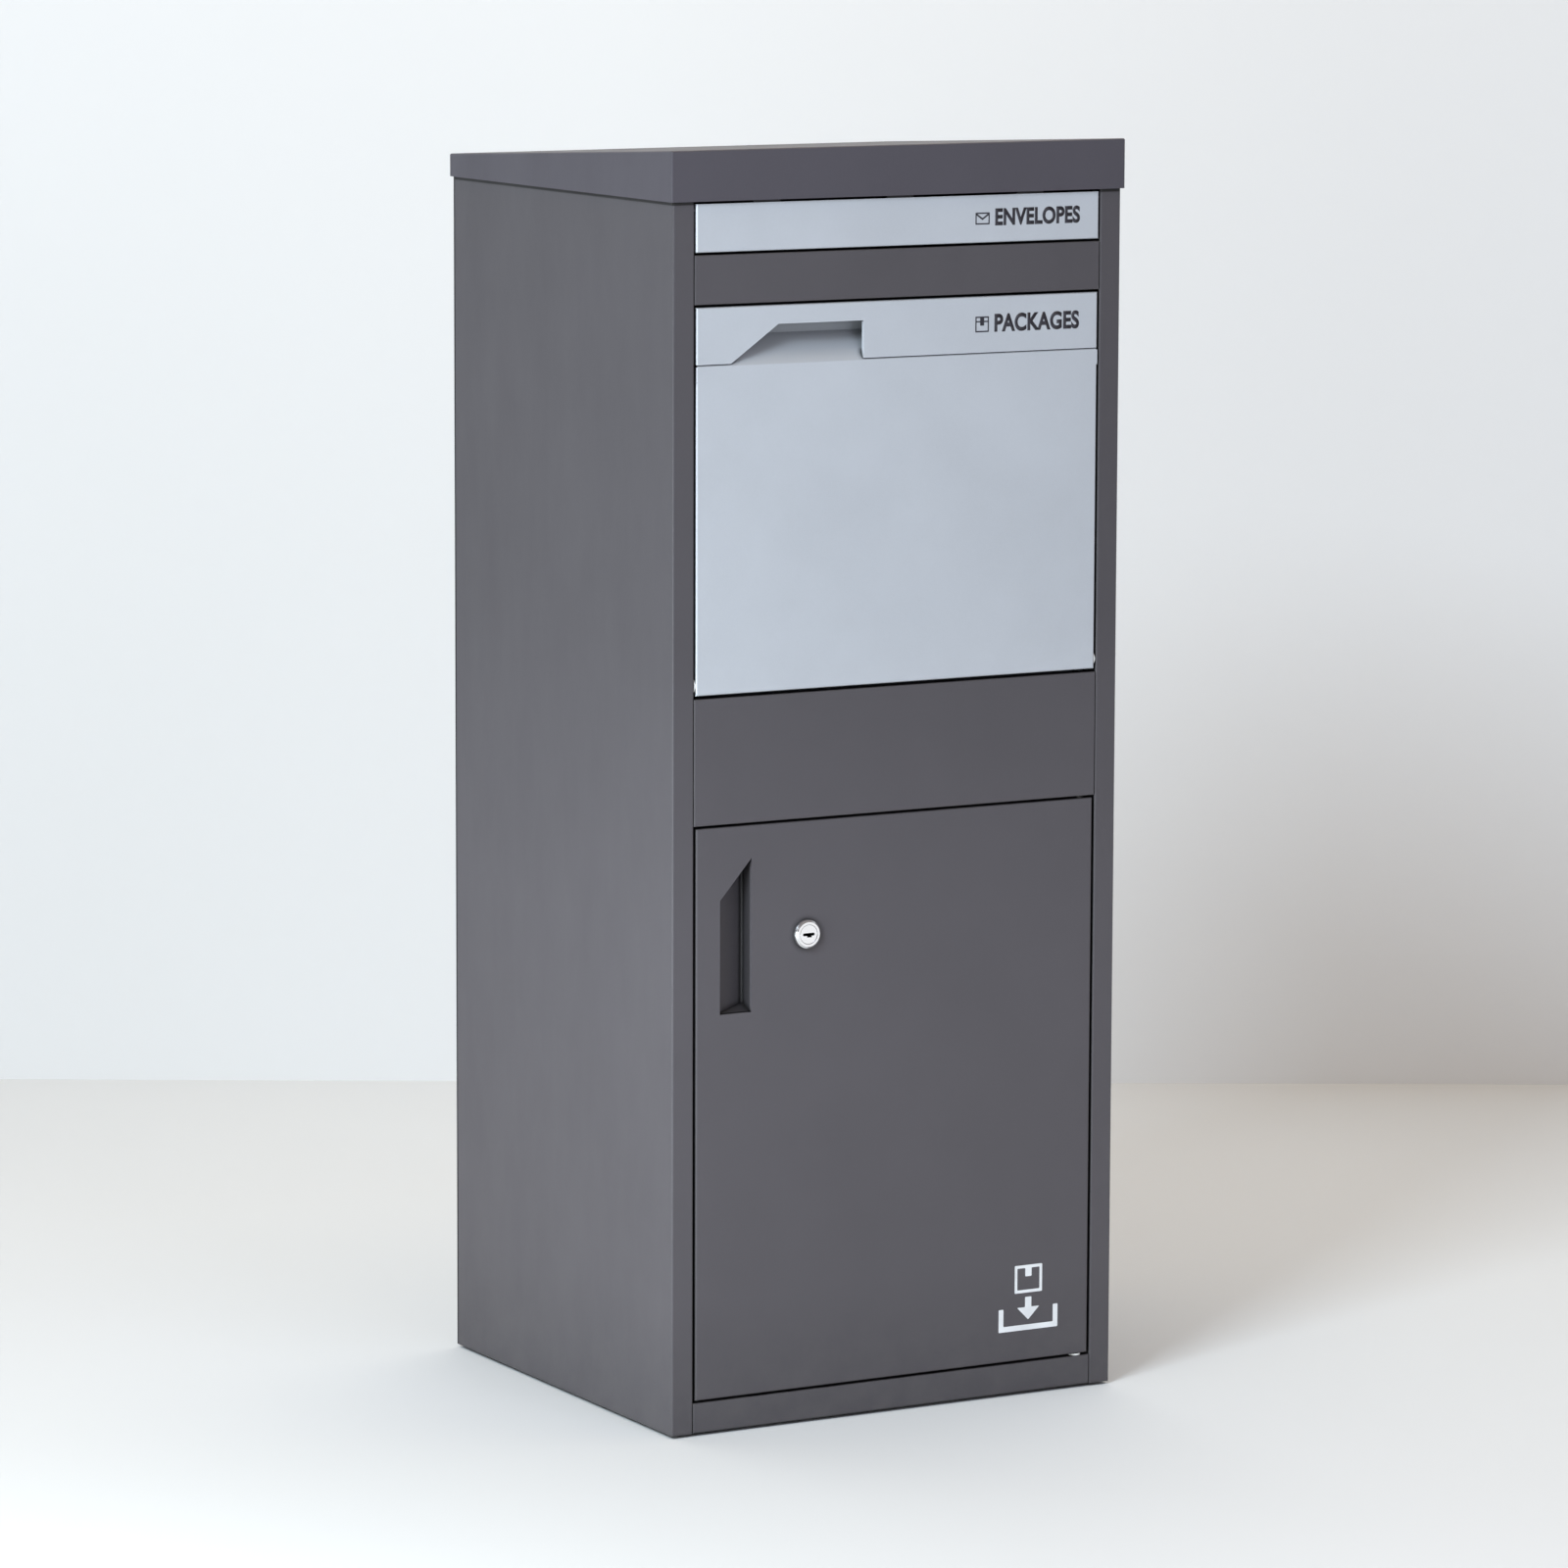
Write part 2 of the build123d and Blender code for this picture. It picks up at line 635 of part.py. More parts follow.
# ---- Lower door: folded skin, finger scoop, stiffener and hinge ---------------------------------
scoop_left, scoop_right = -162.0, -132.7
scoop_depth = 16.5
scoop_bottom, scoop_top = 334.0, 468.0
door_window = [(-161.2, 338.4), (-132.9, 338.4), (-132.9, 461.9), (-161.2, 429.6)]
scoop_floor_slope = radians(19.0)
barrel_radius, barrel_flat = 9.5, 8.0

with BuildPart() as door_skin:
    add(pan((-door_half_width, door_half_width), (door_bottom, door_top), door_flange))
    block((scoop_left - 7, scoop_right + 7), (sheet / 2, doubled), (scoop_bottom - 3, scoop_top + 3))
    with BuildSketch(face_on(-1)):
        with BuildLine():
            Polyline(*door_window, close=True)
        make_face()
        with Locations((lock_x, lock_level)):
            Circle(barrel_radius + running)
    extrude(amount=-1 - 2 * doubled, mode=Mode.SUBTRACT)
    hinge_places = [(hinge_x, hinge_depth, level) for level in (door_bottom, door_top)]
    bore(hinge_places, (0, 0, 1), pin_radius + running, 4 * sheet)

with BuildPart() as door_handle_scoop:
    scoop_line = [
        (scoop_left - 7, doubled),
        (scoop_left, doubled),
        (scoop_right, scoop_depth),
        (scoop_right, doubled),
        (scoop_right + 7, doubled),
    ]
    extrude(folded(plan(scoop_bottom), scoop_line), amount=scoop_top - scoop_bottom)
    floor_plane = Plane(
        origin=(0, front, door_window[0][1] - sheet),
        x_dir=(1, 0, 0),
        z_dir=(0, -sin(scoop_floor_slope), cos(scoop_floor_slope)),
    )
    for end_plane in (floor_plane, plan(scoop_top - sheet)):
        with BuildSketch(end_plane):
            with BuildLine():
                Polyline(
                    (scoop_left + 0.6, doubled + sheet / 2),
                    (scoop_right + 0.4, doubled + sheet / 2),
                    (scoop_right + 0.4, scoop_depth + 0.6),
                    close=True,
                )
            make_face()
        extrude(amount=sheet)

with BuildPart() as door_stiffener:
    stiffener_x, stiffener_half, stiffener_depth = 45.0, 20.0, 12.0
    hat = [
        (stiffener_x - stiffener_half - 15, sheet),
        (stiffener_x - stiffener_half, sheet),
        (stiffener_x - stiffener_half, stiffener_depth),
        (stiffener_x + stiffener_half, stiffener_depth),
        (stiffener_x + stiffener_half, sheet),
        (stiffener_x + stiffener_half + 15, sheet),
    ]
    extrude(folded(plan(60.0), hat), amount=400.0)

with BuildPart() as door_hinge_plates:
    plate_x = (hinge_x - 14, door_half_width - sheet)
    for plate_z in ((door_bottom + sheet, door_bottom + 3 * sheet), (door_top - 3 * sheet, door_top - sheet)):
        block(plate_x, (sheet, door_flange - 1), plate_z)
    bore(hinge_places, (0, 0, 1), pin_radius + running, 20.0)

with BuildPart() as door_hinge_pins:
    pin_reach = 9.0
    for rail_face, inside in ((bottom_rail_top, 1), (fascia_bottom, -1)):
        shank = [(hinge_x, hinge_depth, rail_face + inside * (pin_reach - sheet) / 2)]
        head = [(hinge_x, hinge_depth, rail_face - inside * (sheet + 1.25))]
        bore(shank, (0, 0, 1), pin_radius, pin_reach + sheet, mode=Mode.ADD)
        bore(head, (0, 0, 1), 4.5, 2.5, mode=Mode.ADD)

with BuildPart() as door_hinge_washer:
    washer = 1.5
    washer_place = [(hinge_x, hinge_depth, bottom_rail_top + washer / 2)]
    bore(washer_place, (0, 0, 1), 5.0, washer, mode=Mode.ADD)
    bore(washer_place, (0, 0, 1), pin_radius + running, 4 * washer)

with BuildPart() as door_bumpers:
    stop_face = rail_depth - sheet
    bumper = stop_face - door_flange - 0.3
    bumper_levels = (door_bottom + 4.2, door_top - 4.2)
    places = [(x, stop_face - bumper / 2, z) for x in (-155.0, 95.0) for z in bumper_levels]
    bore(places, (0, 1, 0), 4.0, bumper, mode=Mode.ADD)

# ---- Cam lock: the barrel stays on the door, and the plug turns with its cam --------------------
lock_face = Plane(origin=(lock_x, front, lock_level), x_dir=(1, 0, 0), z_dir=(0, 0, 1))
lock_axis = Axis((lock_x, front, lock_level), (0, 1, 0))
plug_face_radius, plug_radius, plug_recess = 8.0, 6.0, 3.0
barrel_end = 16.5
cam_depth, cam_thickness, cam_width, cam_reach = 18.6, 2.5, 18.0, 112.0
tenon = 8.0
cam_bolt_radius = 2.5

with BuildPart() as lock_barrel:
    barrel_outline = [
        (plug_face_radius + running, -lock_proud),
        (9.9, -lock_proud),
        (11.3, -3.4),
        (11.75, -2.2),
        (11.75, 0),
        (barrel_radius, 0),
        (barrel_radius, barrel_end),
        (plug_radius + running, barrel_end),
        (plug_radius + running, plug_recess - lock_proud),
        (plug_face_radius + running, plug_recess - lock_proud),
    ]
    add(revolved(barrel_outline, lock_face, lock_axis))
    for flat in (-1, 1):
        flat_z = sorted((lock_level + flat * barrel_flat, lock_level + flat * 12))
        block((lock_x - 12, lock_x + 12), (5.0, barrel_end + 1), flat_z, mode=Mode.SUBTRACT)

with BuildPart() as lock_nut:
    with Locations(Plane(origin=(lock_x, front + sheet, lock_level), z_dir=(0, 1, 0))):
        add(nut(24.0, 3.5, barrel_radius + running))

with BuildPart() as lock_plug:
    plug_front = 0.15 - lock_proud
    plug_outline = [
        (0, plug_front),
        (plug_face_radius - 0.5, plug_front),
        (plug_face_radius, plug_front + 0.4),
        (plug_face_radius, plug_recess - lock_proud - running),
        (plug_radius, plug_recess - lock_proud - running),
        (plug_radius, cam_depth),
        (0, cam_depth),
    ]
    add(revolved(plug_outline, lock_face, lock_axis))
    tenon_x = (lock_x - tenon / 2, lock_x + tenon / 2)
    block(tenon_x, (cam_depth, cam_depth + cam_thickness), (lock_level - tenon / 2, lock_level + tenon / 2))
    with BuildSketch(face_on(plug_front)):
        with Locations((lock_x, lock_level)):
            SlotOverall(10.6, 2.3)
        with Locations((lock_x + 0.6, lock_level - 1.6)):
            Rectangle(4.2, 1.6)
    extrude(amount=-9.0, mode=Mode.SUBTRACT)
    bolt_bore = [(lock_x, cam_depth + cam_thickness, lock_level)]
    bore(bolt_bore, (0, 1, 0), cam_bolt_radius + running, 20.0)

with BuildPart() as lock_cam:
    with BuildSketch(face_on(cam_depth)):
        with Locations((lock_x, lock_level - cam_reach / 2 + cam_width / 4)):
            SlotOverall(cam_reach + cam_width / 2, cam_width, rotation=90)
        with Locations((lock_x, lock_level)):
            Rectangle(tenon + 2 * running, tenon + 2 * running, mode=Mode.SUBTRACT)
    extrude(amount=-cam_thickness)

with BuildPart() as cam_bolt:
    cam_back = cam_depth + cam_thickness
    bolt_outline = [
        (0, cam_back - 9),
        (cam_bolt_radius, cam_back - 9),
        (cam_bolt_radius, cam_back),
        (6.5, cam_back),
        (6.5, cam_back + 1),
        (4.6, cam_back + 1),
        (4.6, cam_back + 3.4),
        (4.0, cam_back + 4),
        (0, cam_back + 4),
    ]
    add(revolved(bolt_outline, lock_face, lock_axis))
    with BuildSketch(face_on(cam_back + 4)):
        with Locations((lock_x, lock_level)):
            RegularPolygon(2.5, 6, major_radius=False)
    extrude(amount=2.0, mode=Mode.SUBTRACT)

# ---- One file for each piece --------------------------------------------------------------------
pieces = {
    "left_side_panel": left_side_panel,
    "right_side_panel": right_side_panel,
    "back_panel": back_panel,
    "base_tray": base_tray,
    "feet": feet,
    "bottom_rail": bottom_rail,
    "middle_fascia": middle_fascia,
    "letter_rail": letter_rail,
    "top_cross_rail": top_cross_rail,
    "rear_cross_rail": rear_cross_rail,
    "front_rail_rivets": front_rail_rivets,
    "back_panel_rivets": back_panel_rivets,
    "roof_lid": roof_lid,
    "roof_lid_brackets": roof_lid_brackets,
    "roof_lid_studs": roof_lid_studs,
    "roof_lid_nuts": roof_lid_nuts,
    "letter_chute": letter_chute,
    "anti_theft_baffle": anti_theft_baffle,
    "letter_flap": letter_flap,
    "letter_flap_tube": letter_flap_tube,
    "letter_flap_rod": letter_flap_rod,
    "flap_rod_clips": flap_rod_clips,
    "letter_flap_springs": letter_flap_springs,
    "parcel_door_panel": parcel_door_panel,
    "parcel_handle_cap": parcel_handle_cap,
    "hopper_side_left": hopper_side_left,
    "hopper_side_right": hopper_side_right,
    "hopper_floor": hopper_floor,
    "hopper_pivot_bushes": hopper_pivot_bushes,
    "hopper_pivot_pins": hopper_pivot_pins,
    "hopper_rivets": hopper_rivets,
    "hopper_bumpers": hopper_bumpers,
    "door_skin": door_skin,
    "door_handle_scoop": door_handle_scoop,
    "door_stiffener": door_stiffener,
    "door_hinge_plates": door_hinge_plates,
    "door_hinge_pins": door_hinge_pins,
    "door_hinge_washer": door_hinge_washer,
    "door_bumpers": door_bumpers,
    "lock_barrel": lock_barrel,
    "lock_nut": lock_nut,
    "lock_plug": lock_plug,
    "lock_cam": lock_cam,
    "cam_bolt": cam_bolt,
}

os.makedirs("parts", exist_ok=True)
for name, piece in pieces.items():
    piece.part.label = name
    export_step(piece.part, f"parts/{name}.step")
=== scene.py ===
"""Looks of the parcel drop box: materials, printed labels, camera, stage and light round the frame."""
import json
from math import cos, radians, sin

import bpy
from mathutils import Matrix, Vector


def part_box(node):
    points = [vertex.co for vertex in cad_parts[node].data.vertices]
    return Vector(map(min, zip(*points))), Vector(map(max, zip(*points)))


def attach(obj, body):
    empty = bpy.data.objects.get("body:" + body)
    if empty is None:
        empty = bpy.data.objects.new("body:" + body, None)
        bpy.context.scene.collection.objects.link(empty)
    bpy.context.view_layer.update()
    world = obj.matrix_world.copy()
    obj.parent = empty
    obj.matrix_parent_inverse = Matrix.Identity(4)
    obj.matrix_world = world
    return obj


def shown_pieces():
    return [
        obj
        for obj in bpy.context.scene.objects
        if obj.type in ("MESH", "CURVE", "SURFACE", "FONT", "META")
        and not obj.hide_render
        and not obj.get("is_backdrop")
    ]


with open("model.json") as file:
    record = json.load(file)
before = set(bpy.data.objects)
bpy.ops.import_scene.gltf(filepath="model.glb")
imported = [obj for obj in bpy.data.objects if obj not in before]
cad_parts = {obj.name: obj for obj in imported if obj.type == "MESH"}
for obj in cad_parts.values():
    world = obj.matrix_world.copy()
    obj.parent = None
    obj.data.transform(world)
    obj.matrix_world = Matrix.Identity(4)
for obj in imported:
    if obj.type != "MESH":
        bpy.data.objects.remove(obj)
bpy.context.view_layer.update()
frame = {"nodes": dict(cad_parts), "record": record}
nodes = frame["nodes"]
MM = 0.001


# ---- Node helpers -------------------------------------------------------------------------------
class Graph:
    """Builds one material's nodes. An input is named by its socket and is a value or another output."""

    def __init__(self, name):
        self.material = bpy.data.materials.new(name)
        self.material.use_nodes = True
        self.tree = self.material.node_tree
        self.tree.nodes.clear()
        self.place = self.add("TexCoord").outputs["Object"]

    def add(self, kind, settings=None, **inputs):
        made = self.tree.nodes.new("ShaderNode" + kind)
        for key, value in (settings or {}).items():
            setattr(made, key, value)
        for key, value in inputs.items():
            self.put(made, key.replace("_", " "), value)
        return made

    def put(self, made, key, value):
        socket = made.inputs[key]
        if isinstance(value, bpy.types.NodeSocket):
            self.tree.links.new(value, socket)
        else:
            socket.default_value = value

    def noise(self, scale, detail=2.0, roughness=0.5, stretch=None):
        """Noise from 0 to 1, about its middle, in object space; scale is in features per metre."""
        place = self.place
        if stretch:
            place = self.add("Mapping", Vector=place, Scale=stretch).outputs["Vector"]
        made = self.add("TexNoise", Vector=place, Scale=scale, Detail=detail, Roughness=roughness)
        return made.outputs["Fac"]

    def remap(self, value, low, high, to_low=0.0, to_high=1.0):
        made = self.add("MapRange", {"clamp": True}, Value=value)
        for key, limit in (("From Min", low), ("From Max", high), ("To Min", to_low), ("To Max", to_high)):
            self.put(made, key, limit)
        return made.outputs["Result"]

    def math(self, operation, a, b=0.0):
        made = self.add("Math", {"operation": operation})
        self.put(made, 0, a)
        self.put(made, 1, b)
        return made.outputs["Value"]

    def blend(self, amount, a, b):
        """Colour a where amount is 0 and colour b where it is 1."""
        made = self.add("Mix", {"data_type": "RGBA"})
        self.put(made, 0, amount)
        for index, colour in ((6, a), (7, b)):
            self.put(made, index, colour if isinstance(colour, bpy.types.NodeSocket) else (*colour, 1.0))
        return made.outputs[2]

    def bump(self, height, depth, normal=None):
        """Bump whose height runs over depth metres."""
        made = self.add("Bump", Height=height, Distance=depth, Strength=1.0)
        if normal:
            self.put(made, "Normal", normal)
        return made.outputs["Normal"]

    def edges(self, reach):
        """1 along an edge and 0 further than reach from one."""
        rounded = self.add("Bevel", {"samples": 4}, Radius=reach).outputs["Normal"]
        plain = self.add("NewGeometry").outputs["Normal"]
        made = self.add("VectorMath", {"operation": "DOT_PRODUCT"})
        self.put(made, 0, rounded)
        self.put(made, 1, plain)
        return self.remap(made.outputs["Value"], 0.99, 0.80)

    def along(self, axis):
        """The place on an axis, or, for the axis "lean", how far the surface looks up: 0 upright, 1 level."""
        if axis == "lean":
            normal = self.add("NewGeometry").outputs["Normal"]
            return self.add("SeparateXYZ", Vector=normal).outputs["Z"]
        return self.add("SeparateXYZ", Vector=self.place).outputs[axis]

    def finish(self, **inputs):
        """Ends the material in one principled shader with these inputs."""
        shader = self.add("BsdfPrincipled")
        for key, value in inputs.items():
            self.put(shader, key.replace("_", " "), value)
        out = self.add("OutputMaterial")
        self.tree.links.new(shader.outputs["BSDF"], out.inputs["Surface"])
        return self.material


def shade(colour, factor):
    """A colour that is darker or lighter by a factor."""
    return tuple(channel * factor for channel in colour)


# ---- Materials ----------------------------------------------------------------------------------
EDGE_REACH = 0.9 * MM  # how far the lighter edge reaches: thin paint with a painted highlight
CREVICE_REACH = 5.0 * MM  # how near another surface brings painted shade into the paint
CREVICE_SHADE = 0.08
PEEL_DEPTH = 0.030 * MM
UPPER_SHADE_HEIGHTS = (0.40, 0.64)  # heights over which painted shade takes the paint from its lower to its upper tone
SPLASH_ZONE = (0.002, 0.11)  # heights between which splashed dust fades out
DUST_COLOUR = (0.40, 0.38, 0.35)


def powder_coat(name, colour, grain, grain_depth, roughness, dust, edge, metallic=0.0, high=1.0, shaded=()):
    """Baked powder paint: a fine grain, a slow orange peel, soft mottling, lighter edges and a little dust.

    Along an edge the paint is lighter by the factor edge: it is thin there, and a painted highlight runs
    along it.
    The upper half of the box is painted darker or lighter than the lower by the factor high, as painted
    shade. Each
    entry of shaded is (axis, start, end, factor): from one place on that axis to the next the paint goes over
    to its colour times that factor; the entries paint shade, shadows and highlights. Crevices get painted
    shade as well.
    """
    g = Graph(name)
    mottle = g.noise(14.0, detail=4.0, roughness=0.6)
    grains = g.noise(grain, roughness=0.6)
    peel = g.noise(310.0, detail=1.0, roughness=0.4)
    paint = g.blend(g.remap(mottle, 0.3, 0.7), shade(colour, 0.965), shade(colour, 1.035))
    paint = g.blend(g.remap(grains, 0.35, 0.8, 0.0, 0.5), paint, shade(colour, 1.16))

    # Edges are lighter: the paint is thin there, and a painted highlight runs along them.
    edge_wear_and_highlight_breakup = g.remap(g.noise(90.0, detail=3.0, roughness=0.7), 0.35, 0.7, 0.35, 1.0)
    thin = g.math("MULTIPLY", g.edges(EDGE_REACH), edge_wear_and_highlight_breakup)
    paint = g.blend(thin, paint, shade(colour, edge))

    # Painted shade: from the lower to the upper half the paint goes over to its colour times high.
    upper_shaded = g.add("VectorMath", {"operation": "SCALE"}, Scale=g.remap(g.along("Z"), *UPPER_SHADE_HEIGHTS, 1.0, high))
    g.put(upper_shaded, 0, paint)
    paint = upper_shaded.outputs["Vector"]
    # Painted shade, shadows and highlights from the shaded entries.
    for axis, start, end, factor in shaded:
        paint = g.blend(g.remap(g.along(axis), start, end), paint, shade(colour, factor))
    # Painted shade in crevices and gaps between parts, from ambient occlusion.
    crevice_occlusion = g.add("AmbientOcclusion", {"samples": 6}, Distance=CREVICE_REACH).outputs["AO"]
    paint = g.blend(g.remap(crevice_occlusion, 0.55, 0.93), shade(colour, CREVICE_SHADE), paint)

    splashed = g.remap(g.along("Z"), *SPLASH_ZONE, 0.5, 0.0)
    settled = g.math("MAXIMUM", g.remap(g.along("lean"), 0.5, 0.95), splashed)
    patches = g.remap(g.noise(38.0, detail=5.0, roughness=0.65), 0.38, 0.75)
    soil = g.math("MULTIPLY", g.math("MULTIPLY", settled, patches), dust)
    paint = g.blend(soil, paint, DUST_COLOUR)

    wipes = g.noise(22.0, detail=3.0, roughness=0.6, stretch=(1.0, 1.0, 0.35))
    rough = g.remap(wipes, 0.3, 0.75, roughness - 0.05, roughness + 0.05)
    rough = g.math("ADD", rough, g.math("MULTIPLY", grains, 0.06))
    rough = g.math("ADD", rough, g.math("MULTIPLY", soil, 0.3))
    normal = g.bump(peel, PEEL_DEPTH)
    normal = g.bump(grains, grain_depth, normal)
    return g.finish(Base_Color=paint, Roughness=rough, Normal=normal, Metallic=metallic, IOR=1.5)


def plated(name, colour, roughness, tint, tint_amount):
    """Zinc plate: a soft crystal mottle, faint passivation colour and fine handling scratches."""
    g = Graph(name)
    crystals = g.noise(420.0, detail=3.0, roughness=0.6)
    cloud = g.noise(70.0, detail=3.0)
    scratch = g.remap(g.noise(260.0, detail=4.0, roughness=0.7, stretch=(1.0, 9.0, 1.0)), 0.56, 0.72)
    metal = g.blend(g.remap(cloud, 0.35, 0.65, 0.0, tint_amount), colour, tint)
    metal = g.blend(g.remap(crystals, 0.3, 0.75, 0.0, 0.35), metal, shade(colour, 0.78))
    rough = g.remap(crystals, 0.3, 0.7, roughness - 0.07, roughness + 0.09)
    rough = g.math("ADD", rough, g.math("MULTIPLY", scratch, 0.12))
    normal = g.bump(g.math("ADD", crystals, g.math("MULTIPLY", scratch, -0.6)), 0.006 * MM)
    return g.finish(Base_Color=metal, Roughness=rough, Normal=normal, Metallic=1.0)


def chrome(name, recess=None):
    """Polished chrome with hairline scratches, faint smears, dirt at its edges, and dirt with painted shade
    in its recess.
    """
    g = Graph(name)
    hairs = g.remap(g.noise(900.0, detail=3.0, roughness=0.75, stretch=(1.0, 1.0, 14.0)), 0.58, 0.75)
    smear = g.noise(160.0, detail=3.0, roughness=0.6)
    dull_edge = g.math("MULTIPLY", g.edges(0.35 * MM), 0.35)
    colour = g.blend(dull_edge, (0.83, 0.83, 0.84), (0.40, 0.39, 0.38))
    rough = g.math("ADD", g.remap(smear, 0.35, 0.75, 0.07, 0.17), g.math("MULTIPLY", hairs, 0.08))
    if recess:
        # The recess is painted near black: dirt, with painted shade where it is deep.
        recess_dirt_and_shade = g.remap(g.along("Y"), *recess)
        colour = g.blend(recess_dirt_and_shade, colour, (0.012, 0.011, 0.010))
        rough = g.math("MAXIMUM", rough, g.math("MULTIPLY", recess_dirt_and_shade, 0.7))
    normal = g.bump(hairs, 0.0015 * MM)
    return g.finish(Base_Color=colour, Roughness=rough, Normal=normal, Metallic=1.0)


def spring_wire(name):
    """Drawn steel wire with die lines and an oily film."""
    g = Graph(name)
    lines = g.noise(2600.0, detail=3.0, roughness=0.6, stretch=(0.15, 1.0, 1.0))
    film = g.noise(140.0, detail=3.0, roughness=0.6)
    colour = g.blend(g.remap(film, 0.35, 0.7), (0.43, 0.42, 0.41), (0.30, 0.29, 0.29))
    rough = g.remap(lines, 0.3, 0.7, 0.24, 0.42)
    return g.finish(Base_Color=colour, Roughness=rough, Normal=g.bump(lines, 0.004 * MM), Metallic=1.0)


def oiled_steel(name):
    """Black oxide steel under a film of grease."""
    g = Graph(name)
    film = g.noise(300.0, detail=3.0, roughness=0.6)
    colour = g.blend(g.remap(film, 0.35, 0.7), (0.035, 0.033, 0.032), (0.060, 0.056, 0.052))
    rough = g.remap(film, 0.3, 0.7, 0.30, 0.55)
    return g.finish(Base_Color=colour, Roughness=rough, Normal=g.bump(film, 0.01 * MM), Metallic=0.7)


def moulded(name, colour, roughness, grain, grain_depth, dust):
    """A moulded plastic or rubber part with a spark-eroded skin and dust in its grain."""
    g = Graph(name)
    skin = g.noise(grain, detail=3.0, roughness=0.65)
    cloud = g.noise(55.0, detail=3.0)
    base = g.blend(g.remap(cloud, 0.3, 0.7), shade(colour, 0.93), shade(colour, 1.05))
    base = g.blend(g.remap(skin, 0.55, 0.85, 0.0, dust), base, (0.34, 0.32, 0.30))
    rough = g.remap(skin, 0.3, 0.7, roughness - 0.06, roughness + 0.08)
    return g.finish(Base_Color=base, Roughness=rough, Normal=g.bump(skin, grain_depth))


def print_ink(name, colour, roughness):
    """Screen-printed ink: a slightly uneven film with a faint cloudy tone."""
    g = Graph(name)
    film = g.noise(650.0, detail=3.0, roughness=0.6)
    cloud = g.noise(60.0, detail=3.0)
    base = g.blend(g.remap(cloud, 0.3, 0.7), shade(colour, 0.92), shade(colour, 1.06))
    rough = g.remap(film, 0.3, 0.7, roughness - 0.06, roughness + 0.08)
    return g.finish(Base_Color=base, Roughness=rough, Normal=g.bump(film, 0.006 * MM))


GREY = (0.0835, 0.0770, 0.0860)
# The lid's copy of the body grey is a shade darker and bluer: painted shade for how the lid takes the light.
SHADED_LID_GREY = (0.0800, 0.0735, 0.0900)
SILVER = (0.514, 0.541, 0.582)
ZINC, ZINC_TINT = (0.62, 0.62, 0.61), (0.55, 0.58, 0.66)
NYLON = (0.82, 0.82, 0.80)
RUBBER = (0.030, 0.030, 0.031)
DARK_INK = (0.020, 0.018, 0.026)
WHITE_INK = (0.82, 0.84, 0.86)


def grey_coat(name, colour=GREY, roughness=0.46, dust=0.10, edge=1.25, high=0.80, shaded=()):
    """The body's paint, with a coarser grain than the silver's."""
    return powder_coat(name, colour, 1100.0, 0.055 * MM, roughness, dust, edge, high=high, shaded=shaded)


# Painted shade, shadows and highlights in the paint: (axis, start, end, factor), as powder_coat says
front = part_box("door_skin")[0].y
scoop_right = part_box("door_handle_scoop")[1].x - 7 * MM
silver_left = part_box("letter_flap")[0].x
lid_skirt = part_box("roof_lid")[0].z
# Painted shade: the silver darkens from 1 mm to 19 mm behind its front face, for the finger trough.
painted_trough_shade = ("Y", front + 1.0 * MM, front + 19 * MM, 0.52)
# Painted shade on silver that looks upwards, such as the trough's slanted plate.
painted_lean_shade = ("lean", 0.12, 0.35, 0.84)
# Painted highlight: a strip along the silver pieces' left-hand edges is lighter.
painted_left_highlight = ("X", silver_left + 1.7 * MM, silver_left + 1.1 * MM, 1.6)
# Painted shade: the top cross rail is dark from its front face backwards.
painted_rail_shade = ("Y", front - 1 * MM, front + 1 * MM, 0.30)
# Painted shade in the door's finger scoop: darker behind the face, on its right wall and on its floor.
painted_scoop_shade = ("Y", front - 5 * MM, front + 2 * MM, 0.80)
painted_scoop_wall_shade = ("X", scoop_right - 3 * MM, scoop_right - 1.5 * MM, 0.42)
painted_scoop_floor_shade = ("lean", 0.2, 0.5, 0.30)
# Painted shadow: a dark band on the side panels just under the lid's skirt.
painted_lid_shadow = ("Z", lid_skirt - 2.8 * MM, lid_skirt - 2.3 * MM, 0.03)
# Painted shade: the paint darkens towards the floor, below 110 mm.
painted_floor_shade = ("Z", 110 * MM, 0.0, 0.78)

finishes = {
    # The body grey is painted a shade darker in its upper half and towards the floor.
    "body_grey": grey_coat("body_grey_coat", high=0.82, shaded=[painted_floor_shade]),
    # The silver is painted a shade darker in its upper half, with the painted trough shade and left-edge
    # highlight.
    "silver_paint": powder_coat(
        "silver_coat",
        SILVER,
        grain=2400.0,
        grain_depth=0.008 * MM,
        roughness=0.54,
        dust=0.05,
        edge=1.9,
        metallic=0.15,
        high=0.90,
        shaded=[painted_lean_shade, painted_trough_shade, painted_left_highlight],
    ),
    "chrome": chrome("chrome_plate"),
    "zinc_steel": plated("zinc_plate", ZINC, 0.34, ZINC_TINT, 0.5),
    "spring_steel": spring_wire("spring_wire"),
    "nylon_white": moulded("nylon_white", NYLON, 0.46, 1800.0, 0.012 * MM, 0.10),
    "rubber_black": moulded("rubber_black", RUBBER, 0.74, 1400.0, 0.03 * MM, 0.25),
}
dark_ink = print_ink("dark_ink", DARK_INK, 0.46)
white_ink = print_ink("white_ink", WHITE_INK, 0.42)

slot_of = {part["node"]: part["material_slot"] for part in frame["record"]["subparts"]}
for name, node in nodes.items():
    node.data.materials.clear()
    node.data.materials.append(finishes[slot_of[name]])
# The keyway is painted dark from just behind the plug's face: dirt and painted shade.
plug_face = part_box("lock_plug")[0].y
keyway_dirt_and_shade = (plug_face + 0.4 * MM, plug_face + 1.2 * MM)
